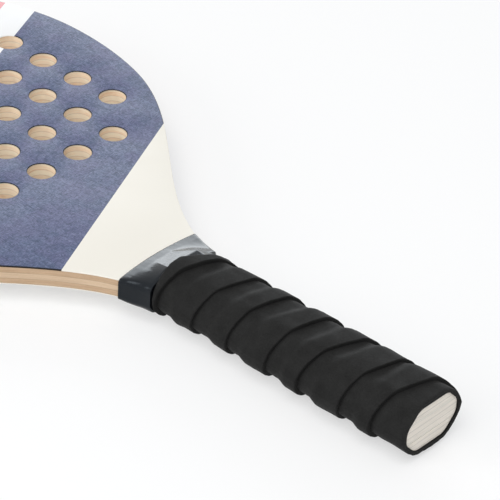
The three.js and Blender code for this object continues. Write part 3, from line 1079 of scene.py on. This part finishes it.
def make_woods():
    return {
        "light": make_wood("light_ply", LIGHT_PLY, PLY_GLUE),
        "dark": make_wood("dark_ply", DARK_PLY, PLY_GLUE),
        # The two hole woods are painted paler than the plies, as painted light inside the holes.
        "light_hole_painted_lit": make_wood("light_ply_painted_lit_in_holes", HOLE_LIGHT_PLY_PAINTED_LIT, DRILLED_GLUE),
        "dark_hole_painted_lit": make_wood("dark_ply_painted_lit_in_holes", HOLE_DARK_PLY_PAINTED_LIT, DRILLED_GLUE),
    }


# Studio

FLOOR_SIZE = 6
FLOOR_GAP = 0.2 * MM
FLOOR_COLOUR = (0.97, 0.97, 0.97, 1)
FLOOR_ROUGHNESS = 0.8
FLOOR_SHINE = 0.1
FLOOR_GLOW = 0.55
WORLD_COLOUR = (0.95, 0.975, 1.0, 1)
WORLD_STRENGTH = 0.42
PURE_WHITE = (1, 1, 1)
COOL_WHITE = (0.92, 0.965, 1)

# Name, place, width and height in metres, watts and colour. Each faces the racket's middle.
SOFTBOXES = (
    ("back_softbox", (-1.23, 1.69, 0.52), (1.7, 1.1), 19, COOL_WHITE),
    ("side_softbox", (-1.1, -1.65, 0.75), (0.9, 0.9), 12, PURE_WHITE),
    ("front_softbox", (0.45, -0.95, 1.75), (1.7, 1.7), 26, PURE_WHITE),
)


def showing_rays(tree):
    """1 for the rays that show the background: seen straight, mirrored or through glass."""
    rays = tree.nodes.new("ShaderNodeLightPath").outputs
    shown = rays["Is Camera Ray"]
    for kind in ("Is Glossy Ray", "Is Transmission Ray"):
        either = tree.nodes.new("ShaderNodeMath")
        either.operation = "MAXIMUM"
        tree.links.new(shown, either.inputs[0])
        tree.links.new(rays[kind], either.inputs[1])
        shown = either.outputs[0]
    return shown


def make_floor(lowest):
    """A pale floor just below the racket, lifted towards white where it is seen or mirrored."""
    bm = bmesh.new()
    bmesh.ops.create_grid(bm, x_segments=1, y_segments=1, size=FLOOR_SIZE)
    bmesh.ops.translate(bm, vec=(0, 0, lowest - FLOOR_GAP), verts=bm.verts)
    mesh = bpy.data.meshes.new("floor")
    bm.to_mesh(mesh)
    bm.free()
    nodes = Nodes("pale_floor")
    nodes.shader.inputs["Base Color"].default_value = FLOOR_COLOUR
    nodes.shader.inputs["Roughness"].default_value = FLOOR_ROUGHNESS
    nodes.shader.inputs["Specular IOR Level"].default_value = FLOOR_SHINE
    white = nodes.add("ShaderNodeEmission", {"Strength": 1.0}).outputs[0]
    lit = nodes.shader.outputs["BSDF"]
    glow = nodes.times(showing_rays(nodes.tree), FLOOR_GLOW)
    mixed = nodes.add("ShaderNodeMixShader", {0: glow, 1: lit, 2: white})
    output = nodes.tree.nodes["Material Output"]
    nodes.tree.links.new(mixed.outputs[0], output.inputs["Surface"])
    mesh.materials.append(nodes.material)
    floor = bpy.data.objects.new("floor", mesh)
    bpy.context.scene.collection.objects.link(floor)
    floor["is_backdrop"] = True


def make_softbox(name, place, size, watts, colour):
    data = bpy.data.lights.new(name, "AREA")
    data.shape = "RECTANGLE"
    data.size, data.size_y = size
    data.energy = watts
    data.color = colour
    lamp = bpy.data.objects.new(name, data)
    bpy.context.scene.collection.objects.link(lamp)
    lamp.location = place
    lamp.rotation_mode = "QUATERNION"
    lamp.rotation_quaternion = (-Vector(place)).to_track_quat("-Z", "Y")
    lamp.visible_camera = False


def make_world():
    world = bpy.data.worlds.new("studio")
    bpy.context.scene.world = world
    world.use_nodes = True
    tree = world.node_tree
    lighting = tree.nodes["Background"]
    lighting.inputs["Color"].default_value = WORLD_COLOUR
    lighting.inputs["Strength"].default_value = WORLD_STRENGTH
    backdrop = tree.nodes.new("ShaderNodeBackground")
    backdrop.inputs["Color"].default_value = (1, 1, 1, 1)
    backdrop.inputs["Strength"].default_value = 1
    mix = tree.nodes.new("ShaderNodeMixShader")
    tree.links.new(showing_rays(tree), mix.inputs[0])
    tree.links.new(lighting.outputs[0], mix.inputs[1])
    tree.links.new(backdrop.outputs[0], mix.inputs[2])
    tree.links.new(mix.outputs[0], tree.nodes["World Output"].inputs["Surface"])


def make_studio(lowest):
    make_floor(lowest)
    make_world()
    for softbox in SOFTBOXES:
        make_softbox(*softbox)
    bpy.context.scene.view_settings.view_transform = "Standard"


make_camera()
woods = make_woods()
make_blade(woods, {"front": make_print("front"), "back": make_print("back")})
make_cheeks(woods)
make_neck_tape(make_tape_material())
make_grip(make_grip_material())
make_studio(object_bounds()[0].z)
